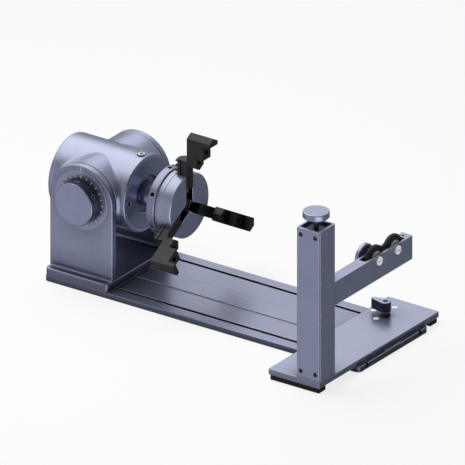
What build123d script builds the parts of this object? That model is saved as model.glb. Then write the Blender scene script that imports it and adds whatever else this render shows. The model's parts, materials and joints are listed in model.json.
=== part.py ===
from build123d import *
import os
from math import cos, sin, radians, sqrt

# Laser rotary attachment: a tilting chuck head on a slotted base, with a sliding roller support.
# Millimetres. X runs from the head to the roller support, Z is up, and the origin is the centre of
# the base plate's underside. The spindle axis is Y = 0 at the height axis_height.

# Base plate
base_length = 450.0
base_width = 142.0
base_thickness = 7.0
corner_radius = 6.0
slot_inset = 16.8
slot_offset = base_width / 2 - slot_inset
slot_mouth = 5.0
slot_lip = 2.4
slot_cavity_width = 9.0
slot_cavity_height = 3.0
rail_width = 28.6
rail_height = 0.9
rail_clearance = 0.2
plate_edge_round = 0.6

# Head and cross cylinder
head_radius = 47.6
cross_step = 3.1
cross_radius = head_radius - cross_step

# Yoke
yoke_margin = 0.8
tilt_x = -base_length / 2 + cross_radius + yoke_margin
axis_height = 111.0
flange_thickness = 10.0
flange_half_length = cross_radius
cheek_gap = 3.8
cheek_thickness = 9.0
edge_round = 1.5
cheek_cove = 3.0
yoke_screw_radius = 2.5
yoke_screw_depth = 7.0
yoke_screw_inset = 15.8
head_sink = 0.3

# Tilt pivot
trunnion_radius = 9.0
bush_wall = 3.0
dial_inset = 7.7
dial_radius = cross_radius - dial_inset
dial_thickness = 3.0
dial_gap = 0.3
knob_radius = 27.0
knob_thickness = 16.0
knob_edge = 1.6
knob_hole_radius = 2.2
knob_hole_depth = 9.0
stud_radius = 6.0
stud_cover = 3.0
trunnion_seat = 7.0
washer_radius = 16.0
washer_thickness = 2.5
washer_gap = 0.25
small_chamfer = 0.6
pivot_screw_radius = 3.0
pivot_screw_depth = 12.0
pivot_head_radius = 5.5
pivot_head_height = 3.5
pivot_socket_radius = 2.6
pivot_socket_floor = 1.5
tap_gap = 1.0

# Head housing
front_reach = 8.2
rear_reach = 13.0
head_front = tilt_x + cross_radius + front_reach
head_rear = tilt_x - cross_radius - rear_reach
cross_gap = 0.3
blend_radius = 8.0
front_rim_round = 2.2
head_wall = 6.5
rear_cover_thickness = 6.0
rear_rim_round = 4.0
spigot_length = 2.5
spigot_gap = 0.1
rear_screw_inset = 10.1
rear_screw_circle = head_radius - rear_screw_inset
rear_screw_radius = 1.5
rear_head_seat = 3.0
rear_head_sink = 0.4
rear_socket_radius = 1.2
rear_socket_floor = 1.8
rear_boss_radius = 4.5
rear_boss_length = 14.0
rear_boss_floor = 3.0
short_tap_gap = 0.5
cap_rim = 3.4
cap_thickness = 6.3
cap_recess_radius = 23.3
cap_recess_depth = 3.6
cap_screw_inset = 11.1
cap_screw_circle = head_radius - cap_screw_inset
cap_screw_radius = 2.0
cap_head_radius = 3.3
cap_head_seat = 3.4
cap_head_height = 2.5
cap_socket_radius = 1.6
cap_socket_depth = 1.3
cap_gap = 0.3
cap_rim_chamfer = 0.8
cap_tap_depth = 9.0
neck_clearance = 0.9
screw_gap = 0.1
plug_x = head_front - 8.4
plug_radius = 5.4
plug_seat_depth = 1.6
plug_head_height = 3.6
plug_seat_gap = 0.9
plug_recess_radius = 2.2
plug_recess_floor = 1.4
plug_shank_radius = 2.5
plug_shank_length = 1.7

# Drive inside the head
motor_side_gap = 12.9
motor_width = 2 * (head_radius - head_wall - motor_side_gap)
coupling_room = 33.0
motor_length = 2 * cross_radius - coupling_room
motor_rear_gap = 3.2
motor_front = head_rear + rear_cover_thickness + motor_rear_gap + motor_length
motor_flange = 5.0
motor_flange_chamfer = 3.0
motor_chamfer = 16.0
motor_pilot_radius = 19.05
motor_pilot_height = 1.6
motor_hole_inset = 4.63
motor_hole_offset = motor_width / 2 - motor_hole_inset
motor_screw_radius = 2.5
motor_tap_depth = 12.0
motor_head_radius = 4.2
motor_head_height = 4.5
motor_socket_radius = 2.0
motor_socket_depth = 2.5
motor_shaft_radius = 3.175
bearing_outer = 21.0
bearing_inner = 12.5
bearing_width = 9.0
bearing_spacer_width = 3.7
bearing_ring_wall = 2.4
shield_depth = 0.6
running_clearance = 0.05
coupling_radius = 11.0
coupling_bore = 5.0
coupling_rear_gap = 3.0
coupling_front_gap = 1.2
coupling_chamfer = 0.8
coupling_screw_radius = 1.5
coupling_screw_inset = 3.0
coupling_screw_depth = 4.0
coupling_split = motor_front + 9.7
shaft_end_gap = 0.3
socket_radius = 8.0
socket_drop = 24.0
socket_length = 5.0
socket_wall = 1.4
socket_floor = 2.0
socket_flange = 2.6
socket_flange_thickness = 1.8
socket_pin_circle = 3.4
socket_pin_radius = 0.8
socket_pin_tip = 0.8

# Spindle and scroll chuck
neck_radius = 14.6
neck_gap = 0.2
chuck_stand_off = 60.0
chuck_face = head_front + chuck_stand_off
chuck_radius = 40.0
chuck_length = 22.1
chuck_body_rear = chuck_face - chuck_length
chuck_hub_radius = 15.0
chuck_rim_wall = 2.4
chuck_chamfer = 1.0
chuck_seam = 7.0
seam_width = 0.6
seam_depth = 0.5
nose_radius = 7.0
nose_length = 12.0
journal_reach = 0.5
ring_radius = 42.0
ring_width = 10.5
ring_gap = 0.3
ring_front = chuck_body_rear - ring_gap
ring_rear = ring_front - ring_width
ring_hole_radius = 3.0
ring_hole_depth = 9.0
ring_chamfer = 0.8
retainer_radius = 24.0
retainer_thickness = 2.5
retainer_side_gap = 0.3
retainer_face_gap = 0.2
scroll_side_gap = 0.2
scroll_pitch = 6.2
scroll_base_radius = 16.2
scroll_start_turn = 1.0 / 6.0
scroll_turns = 3.0
scroll_wall = 2.6
tooth_height = 3.0
tooth_thickness = 2.6
tooth_outer_curve = 17.0
tooth_inner_curve = 38.0
tooth_side_gap = 0.05
tooth_margin = 2.2
mesh_gap = 0.3

# Jaws, measured from the spindle axis at rest
jaw_angles = (90.0, 210.0, 330.0)
jaw_foot_width = 13.4
jaw_foot_inner = 22.0
jaw_foot_outer = 59.5
jaw_foot_depth = 12.3
jaw_foot_proud = 0.6
jaw_slot_gap = 0.05
jaw_groove_depth = 1.5
jaw_groove_width = 1.6
jaw_groove_back = 4.0
jaw_tongue_gap = 0.1
jaw_floor_gap = 0.2
jaw_neck_reach = 5.0
jaw_width = 17.0
jaw_rear = chuck_face + 2.0
jaw_step_x = (jaw_rear + 12.5, jaw_rear + 22.3, jaw_rear + 32.5)
jaw_step_r = (54.6, 66.5, 85.7)
jaw_outer = 90.7
jaw_ridge = 4.8
jaw_hole_radius = 3.4
jaw_hole_depth = 6.0
jaw_hole_r = (61.0, 75.5)
jaw_pin_radius = 1.4
jaw_pin_depth = 2.5
jaw_pin_r = (24.8, 30.8, 36.8)

# Roller support: cross plate and feet
plate_length = 72.6
plate_inset = 4.7
plate_x = (base_length / 2 - plate_inset - plate_length, base_length / 2 - plate_inset)
plate_front_reach = 74.8
plate_back_reach = 27.8
plate_y = (-base_width / 2 - plate_front_reach, base_width / 2 + plate_back_reach)
plate_thickness = 7.0
plate_round = 1.0
pad_width = 14.5
pad_inset = 1.5
pad_round = 1.0
key_clearance = 0.2
key_length = 50.0
key_screw_inset = 8.0
key_screw_radius = 1.5
key_head_radius = 2.5
key_head_seat = 2.0
key_head_sink = 0.4
key_screw_cover = 1.5
screw_sink = 0.2

# Column
column_width = 31.7
column_inset = 1.0
column_x = (plate_x[1] - column_inset - column_width, plate_x[1] - column_inset)
column_depth = 33.2
column_y = (plate_y[0] + column_inset, plate_y[0] + column_inset + column_depth)
column_top = 207.4
column_wall = 2.2
cover_thickness = 3.0
column_round = 0.8
block_height = 12.5
block_recess = 4.0
cover_screw_radius = 3.4
cover_shank_radius = 1.6
cover_screw_length = 11.0
cover_head_depth = 2.2
cover_socket_radius = 1.44
cover_socket_floor = 0.8
column_screw_radius = 2.0
column_screw_depth = 9.0
column_screw_side = 8.5
column_screw_front = 2.0
column_screw_back = 9.0
cover_screw_side = 5.5
cover_screw_end = 8.7

# Lift screw
screw_radius = 4.0
journal_radius = 3.3
journal_floor = 4.0
journal_end_gap = 0.3
nut_radius = 7.5
lift_knob_radius = 16.0
lift_knob_gap = 9.9
lift_knob_thickness = 8.7
lift_knob_round = 1.4
lift_knob_chamfer = 1.6
lift_knob_bore = 5.0
lift_neck_wall = 2.2
lift_neck_length = 3.0

# Arm and rollers
arm_width = 15.0
arm_side_inset = 2.4
arm_x = (column_x[1] - arm_side_inset - arm_width, column_x[1] - arm_side_inset)
arm_drop = 11.3
arm_height = 30.5
arm_z = (axis_height - arm_drop, axis_height - arm_drop + arm_height)
arm_end = 50.0
arm_round = 1.0
carriage_gap = 0.3
carriage_chamfer = 0.8
roller_y = (-18.8, 18.7)
roller_rise = 12.1
roller_z = axis_height + roller_rise
wheel_slot_front = 24.0
wheel_slot_back = 19.2
wheel_slot_y = (roller_y[0] - wheel_slot_front, roller_y[1] + wheel_slot_back)
wheel_slot_width = 9.4
wheel_slot_web = 3.5
wheel_slot_floor = arm_z[0] + wheel_slot_web
roller_radius = 18.0
roller_width = 7.0
roller_bore = 4.0
roller_hub_radius = 11.0
tyre_round = 2.94
hub_inset = 0.1
hub_outer_wall = 2.2
hub_inner_radius = 6.2
collar_radius = 6.0
collar_gap = 0.1
axle_head_radius = 5.5
axle_head_thickness = 2.2
axle_head_round = 0.8
axle_slot_width = 1.2
axle_slot_depth = 0.9
axle_end_gap = 0.3
thumb_radius = 16.4
thumb_x = (arm_x[0] - 8.9, arm_x[0] - 3.7)
thumb_round = 1.0
thumb_rim = 2.4
thumb_cup_depth = 2.6
thumb_hub_radius = 6.4
thumb_wall = 1.2
arm_hole = (arm_x[0] + 6.3, arm_end - 7.2)
arm_hole_radius = 2.0
arm_hole_depth = 10.0

# Clamp lever
lever_x = plate_x[0] + 27.3
lever_y = slot_offset
lever_length = 19.7
lever_head_radius = 6.5
lever_tip_radius = 2.6
lever_height = 13.0
lever_gap = 0.1
lever_round = 0.8
lever_dot_radius = 0.8
lever_dot_depth = 1.5
lever_dot_reach = 8.6
clamp_nut_length = 16.0
clamp_boss_radius = 5.6
clamp_boss_height = 5.2
clamp_stud_radius = 2.5
stud_clearance = 0.3
stud_head_radius = 3.3
stud_head_depth = 3.0
stud_head_sink = 0.4
stud_socket_radius = 1.6
stud_socket_floor = 1.8
plate_screws_at = ((plate_x[0] + 7.9, slot_offset + 3.4), (plate_x[0] + 23.4, slot_offset - 13.7),
                   (plate_x[0] + 23.4, slot_offset + 24.3))
plate_screw_radius = 3.5
plate_screw_length = 6.4
plate_socket_radius = 1.2
plate_socket_floor = 1.4

# How far a cutter runs past a face, joined bodies reach into each other, and edges are found by place
past = 1.0
join = 0.1
near = 0.01

# Worked out from the sizes above
plate_top = base_thickness + plate_thickness
flange_top = base_thickness + flange_thickness
cheek_inner = head_radius + cheek_gap
cheek_outer = cheek_inner + cheek_thickness
slot_floor = base_thickness - slot_lip - slot_cavity_height
bush_radius = trunnion_radius + bush_wall
cross_half = cheek_inner - cross_gap
column_mid_x = sum(column_x) / 2
lift_knob_base = column_top + lift_knob_gap
column_mid_y = (column_y[0] + cover_thickness + column_y[1] - column_wall) / 2
cap_rear = head_front - cap_thickness
bearing_front_x = cap_rear - bearing_width
bearing_rear_x = bearing_front_x - bearing_spacer_width - bearing_width
tooth_root = chuck_face - jaw_foot_depth
tooth_tip = tooth_root - tooth_height
scroll_face = tooth_tip - mesh_gap
jaw_slot_floor = tooth_tip - jaw_floor_gap
lever_base = plate_top + clamp_boss_height
all_centre = (Align.CENTER, Align.CENTER, Align.MIN)


def bar_x(radius, start, end, y=0.0, z=axis_height):
    """A round bar along X."""
    return Location((start, y, z), (0, 90, 0)) * Cylinder(radius, end - start, align=all_centre)


def bar_y(radius, start, end, x=tilt_x, z=axis_height):
    """A round bar along Y."""
    return Location((x, start, z), (-90, 0, 0)) * Cylinder(radius, end - start, align=all_centre)


def bar_z(radius, start, end, x, y):
    """A round bar along Z."""
    return Location((x, y, start)) * Cylinder(radius, end - start, align=all_centre)


def block(x, y, z):
    """A box between three pairs of limits."""
    centre = ((x[0] + x[1]) / 2, (y[0] + y[1]) / 2, (z[0] + z[1]) / 2)
    return Location(centre) * Box(x[1] - x[0], y[1] - y[0], z[1] - z[0])


def about_spindle(shape, degrees):
    """A copy turned about the spindle axis."""
    return shape.rotate(Axis((0, 0, axis_height), (1, 0, 0)), degrees)


def about_tilt(shape, degrees):
    """A copy turned about the tilt axis."""
    return shape.rotate(Axis((tilt_x, 0, axis_height), (0, 1, 0)), degrees)


def countersunk_z(radius, x, y, head_face, length, up):
    """A countersunk screw along Z, its flat head at head_face and its shank running up or down."""
    head_radius = 2 * radius
    cone = Cone(head_radius, radius, radius, align=all_centre)
    shank = Location((0, 0, radius)) * Cylinder(radius, length - radius, align=all_centre)
    turn = 0 if up else 180
    return Location((x, y, head_face), (turn, 0, 0)) * (cone + shank)


# Base and yoke

def t_slot(y):
    """The cutter for one T-slot along the whole base."""
    ends = (-base_length / 2 - past, base_length / 2 + past)
    mouth = block(ends, (y - slot_mouth / 2, y + slot_mouth / 2),
                  (base_thickness - slot_lip - join, base_thickness + past))
    cavity_top = base_thickness - slot_lip
    cavity = block(ends, (y - slot_cavity_width / 2, y + slot_cavity_width / 2),
                   (cavity_top - slot_cavity_height, cavity_top))
    return mouth + cavity


def yoke_screw_places():
    """Centres of the screws that hold the yoke from below."""
    for x in (tilt_x - flange_half_length / 2, tilt_x + flange_half_length / 2):
        for y in (-slot_offset + yoke_screw_inset, 0.0, slot_offset - yoke_screw_inset):
            yield x, y


def base_plate():
    plate = block((-base_length / 2, base_length / 2), (-base_width / 2, base_width / 2),
                  (0, base_thickness))
    plate = fillet(plate.edges().filter_by(Axis.Z), corner_radius)
    plate = fillet(plate.faces().sort_by(Axis.Z)[-1].edges(), plate_edge_round)
    rail = block((-base_length / 2, base_length / 2), (-rail_width / 2, rail_width / 2),
                 (base_thickness - join, base_thickness + rail_height))
    plate = plate + rail
    for y in (-slot_offset, slot_offset):
        plate -= t_slot(y)
    for x, y in yoke_screw_places():
        plate -= countersunk_z(yoke_screw_radius, x, y, head_sink, base_thickness + past, True)
        plate -= bar_z(2 * yoke_screw_radius, -1, head_sink, x, y)
    return plate


def yoke_screws():
    length = base_thickness + yoke_screw_depth - head_sink
    return [countersunk_z(yoke_screw_radius, x, y, head_sink, length, True) for x, y in yoke_screw_places()]


def cheek(side):
    """One cheek of the yoke, with a round top about the tilt axis."""
    inner, outer = sorted((side * cheek_inner, side * cheek_outer))
    web = block((tilt_x - flange_half_length, tilt_x + flange_half_length), (inner, outer),
                (flange_top - join, axis_height))
    plate = web + bar_y(flange_half_length, inner, outer)
    outline = plate.faces().filter_by(Axis.Y).edges()
    outline = outline.filter_by(lambda e: e.center().Z > flange_top + edge_round)
    return fillet(outline, edge_round)


def cheek_foot(face_y, outward):
    """The cove between one face of a cheek and the flange."""
    x = (tilt_x - flange_half_length + edge_round, tilt_x + flange_half_length - edge_round)
    centre_y = face_y + outward * cheek_cove
    corner = block(x, sorted((face_y, centre_y)), (flange_top - join, flange_top + cheek_cove))
    return corner - bar_x(cheek_cove, x[0] - past, x[1] + past, centre_y, flange_top + cheek_cove)


def yoke():
    flange = block((tilt_x - flange_half_length, tilt_x + flange_half_length),
                   (-base_width / 2, base_width / 2), (base_thickness, flange_top))
    flange = fillet(flange.edges().filter_by(Axis.Z), corner_radius)
    flange = fillet(flange.faces().sort_by(Axis.Z)[-1].edges(), edge_round)
    body = flange
    for side in (-1, 1):
        body = body + cheek(side)
        body = body + cheek_foot(side * cheek_outer, side)
        body = body + cheek_foot(side * cheek_inner, -side)
    body -= block((tilt_x - flange_half_length - past, tilt_x + flange_half_length + past),
                  (-rail_width / 2 - rail_clearance, rail_width / 2 + rail_clearance),
                  (base_thickness - past, base_thickness + rail_height + rail_clearance))
    body -= bar_y(bush_radius, -cheek_outer - past, cheek_outer + past)
    body -= bar_y(dial_radius + dial_gap, -cheek_outer - past, -cheek_outer + dial_thickness + dial_gap)
    for x, y in yoke_screw_places():
        body -= bar_z(yoke_screw_radius, base_thickness - past, base_thickness + yoke_screw_depth, x, y)
    return body


def trunnion_bush(side):
    """A plain bush in one cheek."""
    outer_end = cheek_outer - (dial_thickness + dial_gap if side < 0 else 0.0)
    sleeve = bar_y(bush_radius, *sorted((side * cheek_inner, side * outer_end)))
    bore = bar_y(trunnion_radius + running_clearance, -cheek_outer - past, cheek_outer + past)
    return sleeve - bore


# Tilting head

def head_shell():
    """The two crossed cylinders of the housing, with the corner between them blended."""
    barrel = bar_x(head_radius, head_rear + rear_cover_thickness, head_front)
    cross = bar_y(cross_radius, -cross_half, cross_half)
    body = barrel + cross
    seam = [e for e in body.edges()
            if e.geom_type not in (GeomType.CIRCLE, GeomType.LINE)
            and abs(e.center().Y) < cross_half - join]
    body = fillet(seam, blend_radius)
    front_edge = body.edges().filter_by(GeomType.CIRCLE)
    front_edge = front_edge.filter_by(lambda e: abs(e.center().X - head_front) < near)
    return fillet(front_edge, front_rim_round)


def motor_screw_places():
    """Y and Z offsets of the motor's four screws."""
    for y in (-motor_hole_offset, motor_hole_offset):
        for z in (-motor_hole_offset, motor_hole_offset):
            yield y, z


def cover_screw_ring(count, radius, start):
    """Y and Z offsets of screws on a circle about the spindle axis."""
    for index in range(count):
        turn = radians(start + index * 360.0 / count)
        yield radius * cos(turn), radius * sin(turn)


def head_housing():
    body = head_shell()
    body -= bar_x(head_radius - head_wall, head_rear, motor_front)
    body -= bar_x(motor_pilot_radius + running_clearance, motor_front - past, bearing_rear_x)
    body -= bar_x(bearing_outer, bearing_rear_x, head_front + past)
    body -= bar_x(head_radius - cap_rim, cap_rear, head_front + past)
    for y, z in motor_screw_places():
        hole = (motor_front - past, motor_front + motor_tap_depth)
        body -= bar_x(motor_screw_radius, *hole, y, axis_height + z)
    for y, z in cover_screw_ring(2, cap_screw_circle, 0):
        body -= bar_x(cap_screw_radius, cap_rear - cap_tap_depth, cap_rear + past, y, axis_height + z)
    seat = head_rear + rear_cover_thickness
    for y, z in cover_screw_ring(4, rear_screw_circle, 45):
        body += bar_x(rear_boss_radius, seat, seat + rear_boss_length, y, axis_height + z)
        floor = seat + rear_boss_length - rear_boss_floor
        body -= bar_x(rear_screw_radius, seat - past, floor, y, axis_height + z)
    for side in (-1, 1):
        seat_y = sorted((side * (cross_half - trunnion_seat), side * (cross_half + past)))
        body -= bar_y(trunnion_radius, *seat_y)
    seat = axis_height + head_radius - plug_seat_depth
    body -= bar_z(plug_radius, seat, seat + plug_head_height, plug_x, 0)
    body -= bar_z(plug_shank_radius, seat - plug_shank_length, seat + past, plug_x, 0)
    return body


def housing_plug():
    """The small socket screw in its spot face on top of the housing."""
    seat = axis_height + head_radius - plug_seat_depth
    top = seat + plug_head_height
    head = bar_z(plug_radius - plug_seat_gap, seat, top, plug_x, 0)
    head = chamfer(head.faces().sort_by(Axis.Z)[-1].edges(), small_chamfer)
    recess = bar_z(plug_recess_radius, seat + plug_recess_floor, top + past, plug_x, 0)
    shank = bar_z(plug_shank_radius, seat - plug_shank_length, seat + join, plug_x, 0)
    return head - recess + shank


def front_cap():
    """The bearing retainer that closes the front of the housing."""
    face = head_front - cap_gap
    cap = bar_x(head_radius - cap_rim, cap_rear, face)
    cap -= bar_x(cap_recess_radius, face - cap_recess_depth, head_front + past)
    rim = cap.edges().filter_by(GeomType.CIRCLE).filter_by(lambda e: abs(e.center().X - face) < near)
    rim = rim.filter_by(lambda e: e.radius < cap_recess_radius + join)
    cap = chamfer(rim, cap_rim_chamfer)
    cap -= bar_x(neck_radius + neck_clearance, cap_rear - past, head_front + past)
    for y, z in cover_screw_ring(2, cap_screw_circle, 0):
        cap -= bar_x(cap_screw_radius, cap_rear - past, head_front, y, axis_height + z)
        cap -= bar_x(cap_head_radius + screw_gap, head_front - cap_head_seat, head_front, y, axis_height + z)
    return cap


def front_cap_screws():
    screws = []
    seat = head_front - cap_head_seat
    top = seat + cap_head_height
    for y, z in cover_screw_ring(2, cap_screw_circle, 0):
        head = bar_x(cap_head_radius, seat, top, y, axis_height + z)
        head -= bar_x(cap_socket_radius, top - cap_socket_depth, top + past, y, axis_height + z)
        tip = cap_rear - cap_tap_depth + tap_gap
        screws.append(head + bar_x(cap_screw_radius, tip, seat + join, y, axis_height + z))
    return screws


def rear_cover():
    """The round cover behind the motor, with the bore of the inlet socket."""
    seat = head_rear + rear_cover_thickness
    cover = bar_x(head_radius, head_rear, seat)
    rim = cover.edges().filter_by(lambda e: abs(e.center().X - head_rear) < near)
    cover = fillet(rim, rear_rim_round)
    spigot_end = seat + spigot_length
    cover = cover + bar_x(head_radius - head_wall - spigot_gap, seat - join, spigot_end)
    cover -= bar_x(socket_radius, head_rear - past, spigot_end + past, 0, axis_height - socket_drop)
    for y, z in cover_screw_ring(4, rear_screw_circle, 45):
        cover -= bar_x(rear_screw_radius, head_rear - past, spigot_end + past, y, axis_height + z)
        head_seat = head_rear + rear_head_seat
        cover -= bar_x(2 * rear_screw_radius, head_rear - past, head_seat, y, axis_height + z)
        cover -= bar_x(rear_boss_radius + spigot_gap, seat, spigot_end + past, y, axis_height + z)
    return cover


def rear_cover_screws():
    screws = []
    seat = head_rear + rear_head_seat
    tip = head_rear + rear_cover_thickness + rear_boss_length - rear_boss_floor - short_tap_gap
    for y, z in cover_screw_ring(4, rear_screw_circle, 45):
        head = bar_x(2 * rear_screw_radius, head_rear + rear_head_sink, seat, y, axis_height + z)
        head -= bar_x(rear_socket_radius, head_rear, head_rear + rear_socket_floor, y, axis_height + z)
        screws.append(head + bar_x(rear_screw_radius, seat - join, tip, y, axis_height + z))
    return screws


def spindle_bearing(start):
    """One ball bearing, drawn as its two rings with the shield set back between them."""
    ring = bar_x(bearing_outer, start, start + bearing_width)
    ring -= bar_x(bearing_inner, start - past, start + bearing_width + past)
    for face in (start, start + bearing_width - shield_depth):
        groove = bar_x(bearing_outer - bearing_ring_wall, face, face + shield_depth)
        groove -= bar_x(bearing_inner + bearing_ring_wall, face - past, face + past)
        ring -= groove
    return ring


def stepper_motor():
    """A square flanged motor: chamfered stack, front flange, pilot boss and shaft."""
    half = motor_width / 2
    rear = motor_front - motor_length
    stack = block((rear, motor_front - motor_flange + join), (-half, half),
                  (axis_height - half, axis_height + half))
    stack = chamfer(stack.edges().filter_by(Axis.X), motor_chamfer)
    flange = block((motor_front - motor_flange, motor_front), (-half, half),
                   (axis_height - half, axis_height + half))
    flange = chamfer(flange.edges().filter_by(Axis.X), motor_flange_chamfer)
    motor = stack + flange
    motor += bar_x(motor_pilot_radius, motor_front - past, motor_front + motor_pilot_height)
    motor += bar_x(motor_shaft_radius, motor_front - past, coupling_split - shaft_end_gap)
    for y, z in motor_screw_places():
        motor -= bar_x(motor_screw_radius, rear - past, motor_front + past, y, axis_height + z)
    return motor


def motor_screws():
    screws = []
    seat = motor_front - motor_flange
    for y, z in motor_screw_places():
        end = seat - motor_head_height
        head = bar_x(motor_head_radius, end, seat, y, axis_height + z)
        head -= bar_x(motor_socket_radius, end - past, end + motor_socket_depth, y, axis_height + z)
        tip = motor_front + motor_tap_depth - tap_gap
        screws.append(head + bar_x(motor_screw_radius, seat - join, tip, y, axis_height + z))
    return screws


def inlet_socket():
    """The round chassis socket for the motor lead, on the lower part of the rear cover."""
    z = axis_height - socket_drop
    seat = head_rear + rear_cover_thickness
    floor = head_rear + socket_floor
    shell = bar_x(socket_radius, head_rear - socket_length, seat + spigot_length, 0, z)
    shell += bar_x(socket_radius + socket_flange, head_rear - socket_flange_thickness, head_rear, 0, z)
    shell -= bar_x(socket_radius - socket_wall, head_rear - socket_length - past, floor, 0, z)
    for y, dz in cover_screw_ring(4, socket_pin_circle, 45):
        shell += bar_x(socket_pin_radius, head_rear - socket_pin_tip, floor + join, y, z + dz)
    return shell


def trunnion(side):
    """A stub shaft pressed into the head and carried by the bush in one cheek."""
    root = side * (cross_half - trunnion_seat)
    if side < 0:
        journal = bar_y(trunnion_radius, -cheek_outer + dial_thickness, root)
        stud_end = -cheek_outer - knob_thickness + stud_cover
        return journal + bar_y(stud_radius, stud_end, -cheek_outer + dial_thickness + join)
    shaft = bar_y(trunnion_radius, root, cheek_outer + washer_gap)
    return shaft - bar_y(pivot_screw_radius, cheek_outer - pivot_screw_depth, cheek_outer + past)


def dial_disc():
    """The graduated disc that turns with the head, flush in the front cheek."""
    disc = bar_y(dial_radius, -cheek_outer, -cheek_outer + dial_thickness)
    disc -= bar_y(stud_radius, -cheek_outer - past, -cheek_outer + dial_thickness + past)
    return disc


def tilt_knob():
    """The round lock nut, with tommy-bar holes about its rim."""
    face = -cheek_outer - dial_gap
    knob = bar_y(knob_radius, face - knob_thickness, face)
    outer = knob.faces().sort_by(Axis.Y)[0].edges()
    knob = fillet(outer, knob_edge)
    knob -= bar_y(stud_radius + running_clearance, face - knob_thickness + stud_cover, face + past)
    mid = face - knob_thickness / 2
    for turn in range(0, 360, 60):
        hole = bar_z(knob_hole_radius, axis_height + knob_radius - knob_hole_depth,
                     axis_height + knob_radius + past, tilt_x, mid)
        knob -= about_tilt(hole, turn)
    return knob


def trunnion_washer():
    seat = cheek_outer + washer_gap
    disc = bar_y(washer_radius, seat, seat + washer_thickness)
    disc = chamfer(disc.faces().sort_by(Axis.Y)[-1].edges(), small_chamfer)
    return disc - bar_y(pivot_screw_radius, seat - past, seat + washer_thickness + past)


def trunnion_screw():
    seat = cheek_outer + washer_gap + washer_thickness
    head = bar_y(pivot_head_radius, seat, seat + pivot_head_height)
    head = chamfer(head.faces().sort_by(Axis.Y)[-1].edges(), small_chamfer)
    head -= bar_y(pivot_socket_radius, seat + pivot_socket_floor, seat + pivot_head_height + past)
    return head + bar_y(pivot_screw_radius, cheek_outer - pivot_screw_depth + tap_gap, seat + join)


# Spindle and chuck

def spindle():
    """Journal, neck and screwed nose, turning in the two bearings."""
    shoulder = cap_rear + neck_gap
    journal = bar_x(bearing_inner - running_clearance, bearing_rear_x - journal_reach, shoulder + join)
    neck = bar_x(neck_radius, shoulder, ring_rear)
    nose = bar_x(nose_radius, ring_rear - join, ring_rear + nose_length)
    stub = bar_x(coupling_bore, coupling_split, bearing_rear_x)
    return journal + neck + nose + stub


def shaft_coupling():
    """The rigid sleeve that joins the motor shaft to the spindle."""
    end = bearing_rear_x - coupling_front_gap
    start = motor_front + coupling_rear_gap
    sleeve = bar_x(coupling_radius, start, end)
    sleeve = chamfer(sleeve.edges(), coupling_chamfer)
    sleeve -= bar_x(motor_shaft_radius + running_clearance, start - past, coupling_split)
    sleeve -= bar_x(coupling_bore, coupling_split, end + past)
    rim = axis_height + coupling_radius
    for x in (start + coupling_screw_inset, end - coupling_screw_inset):
        sleeve -= bar_z(coupling_screw_radius, rim - coupling_screw_depth, rim + past, x, 0)
    return sleeve


def jaw_slot():
    """The cutter for the slot of the upright jaw: floor, walls and the tongues left in them."""
    half = jaw_foot_width / 2 + jaw_slot_gap
    height = (axis_height, axis_height + chuck_radius + past)
    slot = block((jaw_slot_floor, chuck_face + past), (-half, half), height)
    groove = (tooth_root + jaw_groove_back, tooth_root + jaw_groove_back + jaw_groove_width)
    for side in (-1, 1):
        wall = sorted((side * half, side * (half - jaw_groove_depth + jaw_tongue_gap)))
        slot -= block((groove[0] + jaw_tongue_gap, groove[1] - jaw_tongue_gap), wall,
                      (axis_height + jaw_foot_width, height[1] + past))
    return slot


def chuck_body():
    """Drum with three jaw slots, a hub at the back and a hollow for the scroll."""
    drum = bar_x(chuck_radius, chuck_body_rear, chuck_face)
    front = drum.edges().filter_by(lambda e: abs(e.center().X - chuck_face) < near)
    drum = chamfer(front, chuck_chamfer)
    seam = (chuck_body_rear + chuck_seam, chuck_body_rear + chuck_seam + seam_width)
    seam_core = bar_x(chuck_radius - seam_depth, seam[0] - past, seam[1] + past)
    drum -= bar_x(chuck_radius + past, *seam) - seam_core
    drum -= bar_x(chuck_radius - chuck_rim_wall, chuck_body_rear - past, tooth_root)
    drum += bar_x(chuck_hub_radius, ring_rear, tooth_root + join)
    drum -= bar_x(nose_radius, ring_rear - past, ring_rear + nose_length)
    for angle in jaw_angles:
        drum -= about_spindle(jaw_slot(), angle - 90.0)
    return drum


def spiral_point(turns, side):
    """A point of the scroll's ridge, on its inner or outer face."""
    radius = scroll_base_radius + scroll_pitch * turns + side * scroll_wall / 2
    angle = radians(360.0 * turns)
    return Vector(scroll_face - join, radius * cos(angle), axis_height + radius * sin(angle))


def scroll_ridge():
    """The spiral ridge that drives the jaws."""
    steps = 12
    count = int(scroll_turns * steps)
    turns = [scroll_start_turn + index / steps for index in range(count + 1)]
    inner = Spline([spiral_point(turn, -1) for turn in turns])
    outer = Spline([spiral_point(turn, 1) for turn in turns])
    start = Line(inner @ 0, outer @ 0)
    end = Line(inner @ 1, outer @ 1)
    face = Face(Wire([inner, end, outer, start]))
    return extrude(face, tooth_height + join, dir=(1, 0, 0))


def scroll_ring():
    """The outer ring with tommy-bar holes, the disc inside the drum and the spiral on its face."""
    ring = bar_x(ring_radius, ring_rear, ring_front)
    ring = chamfer(ring.edges(), ring_chamfer)
    disc = bar_x(chuck_radius - chuck_rim_wall - scroll_side_gap, ring_front - join, scroll_face)
    body = ring + disc
    body -= bar_x(chuck_hub_radius + running_clearance, ring_rear - past, scroll_face + past)
    body -= bar_x(retainer_radius + retainer_side_gap, ring_rear - past,
                  ring_rear + retainer_thickness + retainer_face_gap)
    mid = (ring_rear + ring_front) / 2
    for angle in range(30, 390, 60):
        hole = bar_z(ring_hole_radius, axis_height + ring_radius - ring_hole_depth,
                     axis_height + ring_radius + past, mid, 0)
        body -= about_spindle(hole, angle - 90.0)
    return body + scroll_ridge()


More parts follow.
